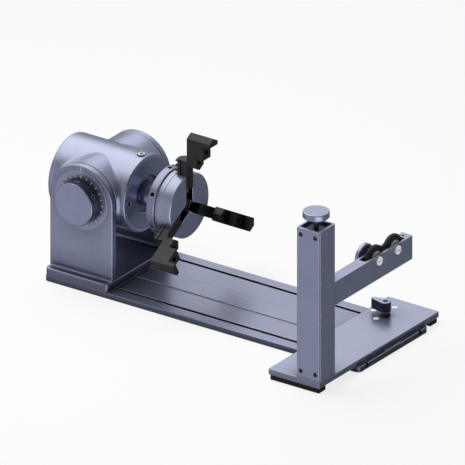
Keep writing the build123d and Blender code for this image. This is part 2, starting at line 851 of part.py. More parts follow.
def scroll_retainer():
    """The flat ring on the hub that keeps the scroll from sliding back."""
    disc = bar_x(retainer_radius, ring_rear, ring_rear + retainer_thickness)
    return disc - bar_x(chuck_hub_radius, ring_rear - past, ring_rear + retainer_thickness + past)


def jaw_tooth(radius):
    """One scroll tooth, thinner at its ends so that it clears the spiral at any radius."""
    half = jaw_foot_width / 2 - tooth_side_gap
    top = radius + tooth_thickness / 2
    low = radius - tooth_thickness / 2
    top_drop = tooth_outer_curve - sqrt(tooth_outer_curve ** 2 - half ** 2)
    low_drop = tooth_inner_curve - sqrt(tooth_inner_curve ** 2 - half ** 2)

    def at(y, r):
        return Vector(tooth_root + join, y, axis_height + r)

    upper = ThreePointArc(at(-half, top - top_drop), at(0, top), at(half, top - top_drop))
    lower = ThreePointArc(at(-half, low - low_drop), at(0, low), at(half, low - low_drop))
    face = Face(Wire([upper, Line(upper @ 1, lower @ 1), lower, Line(lower @ 0, upper @ 0)]))
    return extrude(face, tooth_height + join, dir=(-1, 0, 0))


def jaw_stage(start, end, low, low_ridge):
    """One step of the jaw's body: a bar across the axis with a roof at its outer end."""
    half = jaw_width / 2
    base = axis_height
    points = [(start, -half, base + low), (start, -half, base + jaw_outer),
              (start, 0, base + jaw_outer + jaw_ridge), (start, half, base + jaw_outer),
              (start, half, base + low), (start, 0, base + low - low_ridge)]
    if low_ridge == 0:
        points.pop()
    face = Face(Wire(Polyline(points, close=True)))
    return extrude(face, end - start, dir=(1, 0, 0))


def jaw(angle):
    """One jaw: toothed foot in its slot, and the stepped body in front of the chuck."""
    half = jaw_foot_width / 2
    foot = block((tooth_root, chuck_face + jaw_foot_proud), (-half, half),
                 (axis_height + jaw_foot_inner, axis_height + jaw_foot_outer))
    groove = (tooth_root + jaw_groove_back, tooth_root + jaw_groove_back + jaw_groove_width)
    for side in (-1, 1):
        wall = sorted((side * (half + past), side * (half - jaw_groove_depth)))
        foot -= block(groove, wall, (axis_height, axis_height + jaw_foot_outer + past))
    radius = scroll_base_radius + scroll_pitch * (angle / 360.0 + 0.5)
    while radius < jaw_foot_outer - tooth_thickness / 2:
        if radius > jaw_foot_inner + tooth_margin:
            foot += jaw_tooth(radius)
        radius += scroll_pitch
    neck = block((chuck_face + jaw_foot_proud - join, jaw_rear + join), (-half, half),
                 (axis_height + jaw_step_r[0] - jaw_neck_reach, axis_height + jaw_foot_outer))
    body = jaw_stage(jaw_rear, jaw_step_x[0], jaw_step_r[0], jaw_ridge)
    body += jaw_stage(jaw_step_x[0] - join, jaw_step_x[1], jaw_step_r[1], 0)
    body += jaw_stage(jaw_step_x[1] - join, jaw_step_x[2], jaw_step_r[2], 0)
    shape = foot + neck + body
    for face_x, r in zip(jaw_step_x, jaw_hole_r):
        shape -= bar_x(jaw_hole_radius, face_x - jaw_hole_depth, face_x + past, 0, axis_height + r)
    for r in jaw_pin_r:
        front = chuck_face + jaw_foot_proud
        shape -= bar_x(jaw_pin_radius, front - jaw_pin_depth, front + past, 0, axis_height + r)
    return about_spindle(shape, angle - 90.0)


# Roller support

def cross_plate():
    plate = block(plate_x, plate_y, (base_thickness, plate_top))
    plate = fillet(plate.edges().filter_by(Axis.Z), plate_round)
    plate = fillet(plate.faces().sort_by(Axis.Z)[-1].edges(), plate_edge_round)
    plate -= block((plate_x[0] - past, plate_x[1] + past),
                   (-rail_width / 2 - rail_clearance, rail_width / 2 + rail_clearance),
                   (base_thickness - past, base_thickness + rail_height + rail_clearance))
    for x, y in column_screw_places():
        face = base_thickness + screw_sink
        plate -= countersunk_z(column_screw_radius, x, y, face, plate_thickness + past, True)
        plate -= bar_z(2 * column_screw_radius, base_thickness - past, face, x, y)
    for x, y in key_screw_places():
        plate -= bar_z(key_screw_radius, base_thickness - past, plate_top - key_screw_cover, x, y)
    for x, y in plate_screws_at:
        face = plate_top - screw_sink
        plate -= countersunk_z(plate_screw_radius / 2, x, y, face, plate_screw_length + screw_gap, False)
        plate -= bar_z(plate_screw_radius, face, plate_top + past, x, y)
    stud_hole = clamp_stud_radius + stud_clearance
    plate -= bar_z(stud_hole, base_thickness - past, plate_top + past, lever_x, lever_y)
    return plate


def foot_pad(side):
    """The rubber foot under one end of the cross plate."""
    inner = plate_y[0] + pad_inset if side < 0 else plate_y[1] - pad_inset - pad_width
    pad = block((plate_x[0] + pad_inset, plate_x[1] - pad_inset), (inner, inner + pad_width),
                (0, base_thickness))
    return fillet(pad.edges().filter_by(Axis.Z), pad_round)


def column_screw_places():
    """Centres of the screws that hold the column's foot block from below."""
    for x in (column_mid_x - column_screw_side, column_mid_x + column_screw_side):
        for y in (column_mid_y - column_screw_front, column_mid_y + column_screw_back):
            yield x, y


def column_screws():
    length = plate_thickness + column_screw_depth
    return [countersunk_z(column_screw_radius, x, y, base_thickness + screw_sink, length, True)
            for x, y in column_screw_places()]


def key_screw_places():
    """Centres of the screws that hold the sliding key under the plate."""
    mid = sum(plate_x) / 2
    for x in (mid - key_length / 2 + key_screw_inset, mid + key_length / 2 - key_screw_inset):
        yield x, -slot_offset


def slot_nut(x, y):
    """A sliding T-nut: wide foot in the slot's hollow and a neck up to the plate."""
    half = slot_cavity_width / 2 - key_clearance
    cavity_top = base_thickness - slot_lip
    foot = block(x, (y - half, y + half),
                 (slot_floor + key_clearance, cavity_top - key_clearance))
    neck_half = slot_mouth / 2 - key_clearance
    neck = block(x, (y - neck_half, y + neck_half), (cavity_top - key_clearance - join, base_thickness))
    return foot + neck


def guide_key():
    mid = sum(plate_x) / 2
    key = slot_nut((mid - key_length / 2, mid + key_length / 2), -slot_offset)
    for x, y in key_screw_places():
        key -= bar_z(key_screw_radius, 0, base_thickness + past, x, y)
        key -= bar_z(key_head_radius + screw_gap, 0, slot_floor + key_head_seat, x, y)
    return key


def guide_key_screws():
    screws = []
    seat = slot_floor + key_head_seat
    tip = plate_top - key_screw_cover - short_tap_gap
    for x, y in key_screw_places():
        head = bar_z(key_head_radius, slot_floor + key_head_sink, seat, x, y)
        screws.append(head + bar_z(key_screw_radius, seat - join, tip, x, y))
    return screws


def plate_screws():
    """The bright countersunk screws on top of the cross plate."""
    screws = []
    for x, y in plate_screws_at:
        face = plate_top - screw_sink
        screw = countersunk_z(plate_screw_radius / 2, x, y, face, plate_screw_length, False)
        screws.append(screw - bar_z(plate_socket_radius, plate_top - plate_socket_floor, plate_top, x, y))
    return screws


def column_inside():
    """The limits of the column's hollow."""
    return ((column_x[0] + column_wall, column_x[1] - column_wall),
            (column_y[0] + cover_thickness, column_y[1] - column_wall))


def column_channel():
    """The column's three walls, with the arm's slot in the wall behind."""
    inside_x, inside_y = column_inside()
    tube = block(column_x, (column_y[0] + cover_thickness, column_y[1]), (plate_top, column_top))
    tube = fillet(tube.edges().filter_by(Axis.Z).sort_by(Axis.Y)[-2:], column_round)
    tube -= block(inside_x, (inside_y[0] - past, inside_y[1]), (plate_top - past, column_top + past))
    tube -= block((arm_x[0] - carriage_gap, inside_x[1]), (inside_y[1] - past, column_y[1] + past),
                  (plate_top + block_height, column_top - block_recess - block_height))
    return tube


def cover_screw_places():
    """X and Z of the four screws in the column's cover."""
    for x in (column_x[0] + cover_screw_side, column_x[1] - cover_screw_side):
        for z in (plate_top + cover_screw_end, column_top - cover_screw_end):
            yield x, z


def column_cover():
    cover = block(column_x, (column_y[0], column_y[0] + cover_thickness), (plate_top, column_top))
    cover = fillet(cover.edges().filter_by(Axis.Z).sort_by(Axis.Y)[:2], column_round)
    for x, z in cover_screw_places():
        cover -= bar_y(cover_shank_radius, column_y[0] - past, column_y[0] + cover_thickness + past, x, z)
        cover -= bar_y(cover_screw_radius, column_y[0] - past, column_y[0] + cover_head_depth, x, z)
    return cover


def cover_screws():
    screws = []
    for x, z in cover_screw_places():
        seat = column_y[0] + cover_head_depth
        head = bar_y(cover_screw_radius - screw_gap, column_y[0] + head_sink, seat, x, z)
        head -= bar_y(cover_socket_radius, column_y[0], seat - cover_socket_floor, x, z)
        screws.append(head + bar_y(cover_shank_radius, seat - join, column_y[0] + cover_screw_length, x, z))
    return screws


def end_block(low):
    """One of the two blocks that close the column and carry the lift screw."""
    inside_x, inside_y = column_inside()
    body = block(inside_x, inside_y, (low, low + block_height))
    for x, z in cover_screw_places():
        if low < z < low + block_height:
            body -= bar_y(cover_shank_radius, column_y[0], column_y[0] + cover_screw_length, x, z)
    return body


def column_top_block():
    low = column_top - block_recess - block_height
    body = end_block(low)
    bore = journal_radius + running_clearance
    return body - bar_z(bore, low - past, column_top, column_mid_x, column_mid_y)


def column_foot_block():
    body = end_block(plate_top)
    for x, y in column_screw_places():
        hole_top = plate_top + column_screw_depth + short_tap_gap
        body -= bar_z(column_screw_radius, plate_top - past, hole_top, x, y)
    return body - bar_z(journal_radius + running_clearance, plate_top + journal_floor,
                        plate_top + block_height + past, column_mid_x, column_mid_y)


def lead_screw():
    """The lift screw between its two journals, up to the knob."""
    low = plate_top + block_height + carriage_gap
    high = column_top - block_recess - block_height - carriage_gap
    screw = bar_z(screw_radius, low, high, column_mid_x, column_mid_y)
    return screw + bar_z(journal_radius, plate_top + journal_floor + journal_end_gap,
                         lift_knob_base + lift_knob_bore, column_mid_x, column_mid_y)


def lift_knob():
    top = lift_knob_base + lift_knob_thickness
    knob = bar_z(lift_knob_radius, lift_knob_base, top, column_mid_x, column_mid_y)
    knob = fillet(knob.faces().sort_by(Axis.Z)[-1].edges(), lift_knob_round)
    knob = chamfer(knob.faces().sort_by(Axis.Z)[0].edges(), lift_knob_chamfer)
    neck_low = lift_knob_base - lift_neck_length
    neck = journal_radius + lift_neck_wall
    knob += bar_z(neck, neck_low, lift_knob_base + join, column_mid_x, column_mid_y)
    bore_top = lift_knob_base + lift_knob_bore
    return knob - bar_z(journal_radius, neck_low - past, bore_top, column_mid_x, column_mid_y)


def carriage():
    """The block on the lift screw that carries the arm inside the column."""
    inside_x, inside_y = column_inside()
    body = block((inside_x[0] + carriage_gap, inside_x[1] - carriage_gap),
                 (inside_y[0] + carriage_gap, inside_y[1] - carriage_gap), arm_z)
    body = chamfer(body.edges().filter_by(Axis.Z), carriage_chamfer)
    return body - bar_z(nut_radius, arm_z[0] - past, arm_z[1] + past, column_mid_x, column_mid_y)


def lead_nut():
    nut = bar_z(nut_radius, arm_z[0], arm_z[1], column_mid_x, column_mid_y)
    return nut - bar_z(screw_radius + running_clearance, arm_z[0] - past, arm_z[1] + past,
                       column_mid_x, column_mid_y)


def arm():
    """The cantilever arm, with the wheel slot milled in its top."""
    mid = sum(arm_x) / 2
    inner = column_inside()[1][1] - carriage_gap
    bar = block(arm_x, (inner, arm_end), arm_z)
    bar = fillet(bar.faces().sort_by(Axis.Y)[-1].edges(), arm_round)
    bar -= block((mid - wheel_slot_width / 2, mid + wheel_slot_width / 2), wheel_slot_y,
                 (wheel_slot_floor, arm_z[1] + past))
    for y in roller_y:
        bar -= bar_x(roller_bore, arm_x[0] - past, arm_x[1] + past, y, roller_z)
    hole_x, hole_y = arm_hole
    return bar - bar_z(arm_hole_radius, arm_z[1] - arm_hole_depth, arm_z[1] + past, hole_x, hole_y)


def roller_axle(y, tail):
    """A slotted shoulder bolt through the arm, with its head on the outer side."""
    face = arm_x[1] + axle_head_thickness
    head = bar_x(axle_head_radius, arm_x[1], face, y, roller_z)
    head = fillet(head.faces().sort_by(Axis.X)[-1].edges(), axle_head_round)
    slot = block((face - axle_slot_depth, face + past), (y - axle_head_radius, y + axle_head_radius),
                 (roller_z - axle_slot_width / 2, roller_z + axle_slot_width / 2))
    return head - slot + bar_x(roller_bore - running_clearance, tail, arm_x[1] + join, y, roller_z)


def axle_collars(y):
    """Thin spacers that centre a roller in the slot."""
    mid = sum(arm_x) / 2
    rings = []
    for side in (-1, 1):
        start, end = sorted((mid + side * roller_width / 2, mid + side * (wheel_slot_width / 2)))
        gap = collar_gap if side > 0 else 0.0
        ring = bar_x(collar_radius, start + gap, end - (collar_gap - gap), y, roller_z)
        rings.append(ring - bar_x(roller_bore - running_clearance, start - past, end + past, y, roller_z))
    return rings


def roller_tyre(y):
    """The round-edged rubber tyre of one roller."""
    mid = sum(arm_x) / 2
    tyre = bar_x(roller_radius, mid - roller_width / 2, mid + roller_width / 2, y, roller_z)
    tyre = fillet(tyre.edges(), tyre_round)
    return tyre - bar_x(roller_hub_radius, arm_x[0], arm_x[1], y, roller_z)


def roller_bearing(y):
    """The ball bearing inside one roller, with a set-back shield on both faces."""
    mid = sum(arm_x) / 2
    half = roller_width / 2 - hub_inset
    ring = bar_x(roller_hub_radius, mid - half, mid + half, y, roller_z)
    for low in (mid - half, mid + half - shield_depth):
        groove = bar_x(roller_hub_radius - hub_outer_wall, low, low + shield_depth, y, roller_z)
        ring -= groove - bar_x(hub_inner_radius, low - past, low + past, y, roller_z)
    return ring - bar_x(roller_bore, arm_x[0], arm_x[1], y, roller_z)


def thumb_nut():
    """The cupped thumb nut on the inner end of the axle beside the column."""
    y = roller_y[0]
    disc = bar_x(thumb_radius, thumb_x[0], thumb_x[1], y, roller_z)
    disc = fillet(disc.edges(), thumb_round)
    cup_floor = thumb_x[1] - thumb_cup_depth
    disc -= bar_x(thumb_radius - thumb_rim, cup_floor, thumb_x[1] + past, y, roller_z)
    disc += bar_x(thumb_hub_radius, cup_floor - join, arm_x[0], y, roller_z)
    return disc - bar_x(roller_bore, thumb_x[0] + thumb_wall, arm_x[0] + past, y, roller_z)


# Clamp lever

def clamp_nut():
    nut = slot_nut((lever_x - clamp_nut_length / 2, lever_x + clamp_nut_length / 2), lever_y)
    return nut - bar_z(clamp_stud_radius, 0, base_thickness + past, lever_x, lever_y)


def clamp_boss():
    ring = bar_z(clamp_boss_radius, plate_top, lever_base - lever_gap, lever_x, lever_y)
    stud_hole = clamp_stud_radius + stud_clearance
    return ring - bar_z(stud_hole, plate_top - past, lever_base + past, lever_x, lever_y)


def clamp_lever():
    """The drop-shaped lever, its round end over the stud and its tip towards the head."""
    reach = lever_length - lever_tip_radius
    big = Location((lever_x, lever_y)) * Circle(lever_head_radius)
    small = Location((lever_x - reach, lever_y)) * Circle(lever_tip_radius)
    outline = make_hull((big + small).edges())
    body = Location((0, 0, lever_base)) * extrude(outline, lever_height)
    top = body.faces().sort_by(Axis.Z)[-1]
    body = fillet(top.edges(), lever_round)
    high = lever_base + lever_height
    body -= bar_z(stud_head_radius + screw_gap, high - stud_head_depth, high + past, lever_x, lever_y)
    body -= bar_z(lever_dot_radius, high - lever_dot_depth, high + past, lever_x - lever_dot_reach, lever_y)
    return body - bar_z(clamp_stud_radius, lever_base - past, high, lever_x, lever_y)


def clamp_stud():
    """The socket screw through the lever and the plate into the T-nut."""
    high = lever_base + lever_height
    seat = high - stud_head_depth
    head = bar_z(stud_head_radius, seat, high - stud_head_sink, lever_x, lever_y)
    head -= bar_z(stud_socket_radius, high - stud_socket_floor, high, lever_x, lever_y)
    return head + bar_z(clamp_stud_radius - running_clearance, slot_floor + key_clearance, seat + join,
                        lever_x, lever_y)


parts = {
    "base_plate": base_plate,
    "yoke": yoke,
    "yoke_screws": yoke_screws,
    "front_bush": lambda: trunnion_bush(-1),
    "rear_bush": lambda: trunnion_bush(1),
    "head_housing": head_housing,
    "housing_plug": housing_plug,
    "front_cap": front_cap,
    "front_cap_screws": front_cap_screws,
    "rear_cover": rear_cover,
    "rear_cover_screws": rear_cover_screws,
    "stepper_motor": stepper_motor,
    "motor_screws": motor_screws,
    "inlet_socket": inlet_socket,
    "rear_spindle_bearing": lambda: spindle_bearing(bearing_rear_x),
    "front_spindle_bearing": lambda: spindle_bearing(bearing_front_x),
    "front_trunnion": lambda: trunnion(-1),
    "rear_trunnion": lambda: trunnion(1),
    "dial_disc": dial_disc,
    "tilt_knob": tilt_knob,
    "trunnion_washer": trunnion_washer,
    "trunnion_screw": trunnion_screw,
    "spindle": spindle,
    "shaft_coupling": shaft_coupling,
    "chuck_body": chuck_body,
    "scroll_retainer": scroll_retainer,
    "scroll_ring": scroll_ring,
    "jaw_1": lambda: jaw(jaw_angles[0]),
    "jaw_2": lambda: jaw(jaw_angles[1]),
    "jaw_3": lambda: jaw(jaw_angles[2]),
    "cross_plate": cross_plate,
    "front_foot_pad": lambda: foot_pad(-1),
    "rear_foot_pad": lambda: foot_pad(1),
    "guide_key": guide_key,
    "guide_key_screws": guide_key_screws,
    "plate_screws": plate_screws,
    "column_channel": column_channel,
    "column_cover": column_cover,
    "cover_screws": cover_screws,
    "column_screws": column_screws,
    "column_top_block": column_top_block,
    "column_foot_block": column_foot_block,
    "lead_screw": lead_screw,
    "lift_knob": lift_knob,
    "carriage": carriage,
    "lead_nut": lead_nut,
    "arm": arm,
    "roller_axle_1": lambda: roller_axle(roller_y[0], thumb_x[0] + thumb_wall + axle_end_gap),
    "roller_axle_2": lambda: roller_axle(roller_y[1], arm_x[0]),
    "axle_collars": lambda: axle_collars(roller_y[0]) + axle_collars(roller_y[1]),
    "roller_tyre_1": lambda: roller_tyre(roller_y[0]),
    "roller_tyre_2": lambda: roller_tyre(roller_y[1]),
    "roller_bearing_1": lambda: roller_bearing(roller_y[0]),
    "roller_bearing_2": lambda: roller_bearing(roller_y[1]),
    "thumb_nut": thumb_nut,
    "clamp_nut": clamp_nut,
    "clamp_boss": clamp_boss,
    "clamp_lever": clamp_lever,
    "clamp_stud": clamp_stud,
}

os.makedirs("parts", exist_ok=True)
for name, make in parts.items():
    made = make()
    shape = Compound(children=made) if isinstance(made, list) else made
    export_step(shape, f"parts/{name}.step")
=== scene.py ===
import bpy
import bmesh
import json
from math import radians, sin, cos, pi
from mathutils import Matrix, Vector


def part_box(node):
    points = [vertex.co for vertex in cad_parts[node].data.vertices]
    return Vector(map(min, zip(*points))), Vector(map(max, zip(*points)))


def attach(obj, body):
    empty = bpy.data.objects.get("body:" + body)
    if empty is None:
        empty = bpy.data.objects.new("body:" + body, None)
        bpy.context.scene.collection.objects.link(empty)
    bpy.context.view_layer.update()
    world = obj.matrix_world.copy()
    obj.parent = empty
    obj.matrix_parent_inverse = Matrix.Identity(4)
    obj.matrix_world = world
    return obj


# Looks of the laser rotary attachment. Metres, in the frame of the solids.

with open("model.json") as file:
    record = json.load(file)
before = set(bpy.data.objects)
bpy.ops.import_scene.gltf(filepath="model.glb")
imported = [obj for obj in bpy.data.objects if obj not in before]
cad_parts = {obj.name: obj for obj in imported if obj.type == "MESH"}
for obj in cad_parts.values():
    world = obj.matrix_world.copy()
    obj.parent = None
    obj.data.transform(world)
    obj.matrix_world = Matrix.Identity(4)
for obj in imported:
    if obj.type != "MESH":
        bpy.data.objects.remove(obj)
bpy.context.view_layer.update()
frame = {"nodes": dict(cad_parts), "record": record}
nodes = frame["nodes"]
boxes = {name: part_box(name) for name in nodes}
middles = {name: tuple((low + high) / 2 for low, high in zip(*box)) for name, box in boxes.items()}

x_axis = (1.0, 0.0, 0.0)
y_axis = (0.0, 1.0, 0.0)
z_axis = (0.0, 0.0, 1.0)
toward_front = (0.0, -1.0, 0.0)

# Camera, worked out from the photograph: a parallel view
camera_azimuth = radians(35.0)
camera_elevation = radians(25.0)
view_width = 0.54405
view_centre = Vector((-0.0055, 0.0, 0.0930))
camera_distance = 2.0

# Studio: what the metal mirrors, by direction. A patch is its direction, the cosines at its rim and where it is full,
# the strength it adds and its tint
studio_base = (0.032, 0.033, 0.040)
studio_patches = [
    ((-0.52, 0.17, 0.83), 0.60, 0.95, 1.32, (0.98, 0.96, 0.88)),
    ((-0.52, 0.74, 0.42), 0.45, 0.98, 0.20, (0.98, 0.98, 1.04)),
    ((0.20, 0.74, 0.62), 0.60, 0.98, 0.23, (0.95, 0.97, 1.0)),
    ((-0.52, -0.82, -0.20), 0.55, 0.98, 0.43, (0.93, 0.93, 1.0)),
    ((0.55, 0.72, -0.25), 0.40, 0.95, 0.13, (0.87, 0.97, 1.0)),
    ((0.74, -0.52, -0.42), 0.76, 0.97, 1.30, (0.95, 0.97, 1.0)),
]

# Floor and lamp
floor_colour = (0.93, 0.93, 0.94)
floor_white = 0.80
floor_roughness = 0.9
floor_half = 3.0
floor_drop = 0.0002
lamp_place = (-0.40, -0.20, 1.20)
lamp_aim = (0.0, 0.0, 0.0)
lamp_size = (0.9, 0.7)
lamp_power = 8.0

# Edges: how round they look, the cosines of the bend where one begins and is full, their painted highlight and wear,
# and the glow that paints a highlight on them
edge_radius = 0.0005
edge_begins = 0.995
edge_full = 0.80
edge_wear_and_highlight = (0.86, 0.87, 0.94)
edge_glow_colour = (0.74, 0.77, 0.90)
edge_glow_reach = 0.03
edge_glow_power = 1.2
ray_samples = 6

# Surface: clouds and smudges over all of it, and the grain, the brushing or the turned rings
noise_low = 0.3
noise_high = 0.7
cloud_scale = 22.0
cloud_detail = 3.0
smudge_scale = 160.0
smudge_detail = 4.0
smudge_spread = 0.03
brushing = (3.0, 900.0, 900.0)
brushing_detail = 3.0
ring_fineness = 1400.0
line_share = 0.5
line_contrast = 0.06
line_spread = 0.04
fine_detail = 2.0
grain_depth = 0.0002

# Places in a piece where painted shade darkens its colour
side_limit = 0.5
hollow_step = 0.0005
chuck_rim = 0.0006
slot_offset = 0.0542
slot_half = 0.0047
slot_top = 0.0065
spindle_line = (0.0, 0.0, middles["chuck_body"][2])
chuck_face = (boxes["chuck_body"][1][0], 0.0, spindle_line[2])
chuck_radius = (boxes["chuck_body"][1][2] - boxes["chuck_body"][0][2]) / 2

# Dial
dial_steps = 24
long_mark_every = 3
dial_mark_inner = 0.0285
dial_mark = 0.0024
dial_long_mark = 0.0034
dial_mark_width = 0.0009
mark_height = 0.00012
mark_sink = 0.0003
index_inner = 0.0372
index_outer = 0.0432
cheek_inset = 0.0106
box_faces = ((0, 3, 2, 1), (4, 5, 6, 7), (0, 1, 5, 4), (1, 2, 6, 5), (2, 3, 7, 6), (3, 0, 4, 7))

# Colours
black = (0.0, 0.0, 0.0)
blue_grey = (0.440, 0.478, 0.665)
base_blue = (0.375, 0.407, 0.580)
ring_blue = (0.34, 0.365, 0.52)
spindle_blue = (0.42, 0.45, 0.64)
boss_blue = (0.10, 0.105, 0.16)
# Painted shade on the tilt knob's rim and the clamp lever's sides
knob_rim_shade = (0.085, 0.090, 0.150)
lever_side_shade = (0.055, 0.058, 0.095)
# Painted shade inside the slots of the base plate
painted_slot_shade = (0.004, 0.004, 0.008)
# Painted shade inside the chuck's hollow
painted_hollow_shade = (0.004, 0.004, 0.006)


# Materials

class Nodes:
    """Short calls that add nodes to a tree. A value is the output of another node, a number, a vector or a colour."""

    def __init__(self, tree):
        self.tree = tree

    def feed(self, target, value):
        """Links an input to another node's output, or writes the value on it."""
        if isinstance(value, bpy.types.NodeSocket):
            self.tree.links.new(value, target)
        else:
            target.default_value = (*value, 1.0) if target.type == "RGBA" else value

    def node(self, kind, *values, **settings):
        """A node with its settings and inputs by name, or the values of its first inputs in their order."""
        made = self.tree.nodes.new(kind)
        for key, value in settings.items():
            if key in made.inputs:
                self.feed(made.inputs[key], value)
            else:
                setattr(made, key, value)
        for target, value in zip(made.inputs, values):
            self.feed(target, value)
        return made

    def math(self, operation, *values):
        return self.node("ShaderNodeMath", *values, operation=operation).outputs[0]

    def vector(self, operation, *values):
        made = self.node("ShaderNodeVectorMath", *values, operation=operation)
        return made.outputs["Value" if operation in ("DOT_PRODUCT", "LENGTH") else "Vector"]

    def spread(self, value, from_low, from_high, to_low, to_high, interpolation="LINEAR"):
        """The value's range from_low to from_high, spread over to_low to to_high."""
        return self.node("ShaderNodeMapRange", value, from_low, from_high, to_low, to_high,
                         interpolation_type=interpolation).outputs["Result"]

    def mix(self, first, second, share, blend_type="MIX"):
        """A share of the second colour over the first. The sockets go by number, because their names repeat."""
        made = self.node("ShaderNodeMix", share, data_type="RGBA", blend_type=blend_type)
        self.feed(made.inputs[6], first)
        self.feed(made.inputs[7], second)
        return made.outputs[2]

    def mix_shaders(self, first, second, share):
        return self.node("ShaderNodeMixShader", share, first, second).outputs[0]


class Shader(Nodes):
    """A material with a Principled shader, and what a metal surface needs."""

    def __init__(self, name, colour, roughness, metallic=0.0):
        self.material = bpy.data.materials.new(name)
        self.material.use_nodes = True
        super().__init__(self.material.node_tree)
        self.main = self.tree.nodes["Principled BSDF"]
        self.main.inputs["Base Color"].default_value = (*colour, 1.0)
        self.main.inputs["Roughness"].default_value = roughness
        self.main.inputs["Metallic"].default_value = metallic

    def place(self):
        """The object's own coordinates."""
        return self.node("ShaderNodeTexCoord").outputs["Object"]

    def noise(self, scale, detail, stretch=(1.0, 1.0, 1.0)):
        stretched = self.node("ShaderNodeMapping", Vector=self.place(), Scale=stretch).outputs["Vector"]
        return self.node("ShaderNodeTexNoise", Vector=stretched, Scale=scale, Detail=detail).outputs["Fac"]

    def even(self, noise, low=0.0, high=1.0):
        """The range that most of the noise is in, spread over low to high."""
        return self.spread(noise, noise_low, noise_high, low, high)

    def round_place(self, centre, axis):
        """Distance from an axis, and along it from the centre."""
        moved = self.vector("SUBTRACT", self.place(), centre)
        across = self.vector("MULTIPLY", moved, tuple(1.0 - part for part in axis))
        return self.vector("LENGTH", across), self.vector("DOT_PRODUCT", moved, axis)

    def rings(self, centre, axis):
        """Marks of turning about an axis: rings on the faces, hoops on the rim."""
        radius, along = self.round_place(centre, axis)
        return self.node("ShaderNodeTexNoise", noise_dimensions="1D", W=self.math("ADD", radius, along),
                         Scale=ring_fineness, Detail=fine_detail).outputs["Fac"]

    def in_hollow(self, colour, centre, axis, radius_limit, dark):
        """Painted shade: the dark colour behind the face at the centre and inside the rim."""
        radius, along = self.round_place(centre, axis)
        behind = self.math("LESS_THAN", along, -hollow_step)
        inside = self.math("LESS_THAN", radius, radius_limit)
        return self.mix(colour, dark, self.math("MULTIPLY", behind, inside))

    def in_slots(self, colour, offset, half, top, dark):
        """Painted shade: the dark colour inside two long slots at +-offset, below the top."""
        parts = self.node("ShaderNodeSeparateXYZ", self.place())
        from_middle = self.math("ABSOLUTE", self.math("SUBTRACT", self.math("ABSOLUTE", parts.outputs["Y"]), offset))
        within = self.math("LESS_THAN", from_middle, half)
        below = self.math("LESS_THAN", parts.outputs["Z"], top)
        return self.mix(colour, dark, self.math("MULTIPLY", within, below))

    def on_sides(self, colour, axis, dark):
        """Painted shade: the dark colour where a face doesn't look along the axis."""
        facing = self.vector("DOT_PRODUCT", self.node("ShaderNodeNewGeometry").outputs["Normal"], axis)
        return self.mix(colour, dark, self.math("LESS_THAN", facing, side_limit))

    def shaded(self, colour, distance, power):
        """Painted shade: the colour made darker in slots and recesses, by how closed in a point is."""
        near = self.node("ShaderNodeAmbientOcclusion", samples=ray_samples, Distance=distance)
        return self.mix(colour, self.math("POWER", near.outputs["AO"], power), 1.0, "MULTIPLY")

    def rounded(self, radius):
        """The normal of the surface with its edges rounded, and how near an edge a point is."""
        normal = self.node("ShaderNodeBevel", samples=ray_samples, Radius=radius).outputs["Normal"]
        flat = self.node("ShaderNodeNewGeometry").outputs["Normal"]
        return normal, self.spread(self.vector("DOT_PRODUCT", normal, flat), edge_begins, edge_full, 0.0, 1.0)


def times(colour, factor):
    return tuple(min(1.0, part * factor) for part in colour)


def between(first, second, share):
    return tuple(a + (b - a) * share for a, b in zip(first, second))


def metal_finish(name, colour, roughness, metallic, grain=1700.0, streak=None, turned=None, edge_light=0.35,
                 bump=0.05, clouds=0.04, radius=edge_radius, recesses=((0.006, 1.8),), hollow=None, sides=None,
                 slots=None, glow=0.0, edge_glow=0.0):
    """A machined or anodised metal: clouds, fine grain, brushing or turned rings, edges lightened with painted
    highlight and wear, recesses darkened with painted shade. A recess is the reach of its painted shade and the
    shade's power; a glow is painted light."""
    made = Shader(name, colour, roughness, metallic)
    body = made.mix(times(colour, 1.0 - clouds), times(colour, 1.0 + clouds),
                    made.even(made.noise(cloud_scale, cloud_detail)))
    if streak is not None:
        height = made.noise(1.0, brushing_detail, streak)
    elif turned is not None:
        height = made.rings(*turned)
    else:
        height = made.noise(grain, fine_detail)
    if streak is not None or turned is not None:
        lined = made.mix(times(colour, 1.0 - line_contrast), times(colour, 1.0 + line_contrast), made.even(height))
        body = made.mix(body, lined, line_share)
        gloss = made.even(height, roughness - line_spread, roughness + line_spread)
    else:
        gloss = made.even(made.noise(smudge_scale, smudge_detail), roughness - smudge_spread,
                          roughness + smudge_spread)
    made.feed(made.main.inputs["Roughness"], gloss)
    normal, edge = made.rounded(radius)
    if sides is not None:
        body = made.on_sides(body, *sides)
    if hollow is not None:
        body = made.in_hollow(body, *hollow)
    # Painted highlight and wear: the edges are lightened towards a pale colour
    body = made.mix(body, between(colour, edge_wear_and_highlight, edge_light), edge)
    if slots is not None:
        body = made.in_slots(body, *slots)
    for distance, power in recesses:
        body = made.shaded(body, distance, power)
    made.feed(made.main.inputs["Base Color"], body)
    # Painted light: the part glows though it is no lamp, or its edges glow as a painted highlight, dimmed in recesses
    if glow > 0.0:
        made.feed(made.main.inputs["Emission Color"], colour)
        made.feed(made.main.inputs["Emission Strength"], glow)
    elif edge_glow > 0.0:
        lit = made.shaded(made.mix(black, edge_glow_colour, edge), edge_glow_reach, edge_glow_power)
        made.feed(made.main.inputs["Emission Color"], lit)
        made.feed(made.main.inputs["Emission Strength"], edge_glow)
    uneven = made.node("ShaderNodeBump", Strength=bump, Distance=grain_depth, Height=height, Normal=normal)
    made.feed(made.main.inputs["Normal"], uneven.outputs["Normal"])
    return made.material


def anodised(name, colour=blue_grey, **changes):
    """The anodised metal of most pieces, with changes; its edges glow as a painted highlight."""
    return metal_finish(name, colour, 0.30, 0.82, edge_light=0.75, radius=0.0009, edge_glow=0.42, **changes)


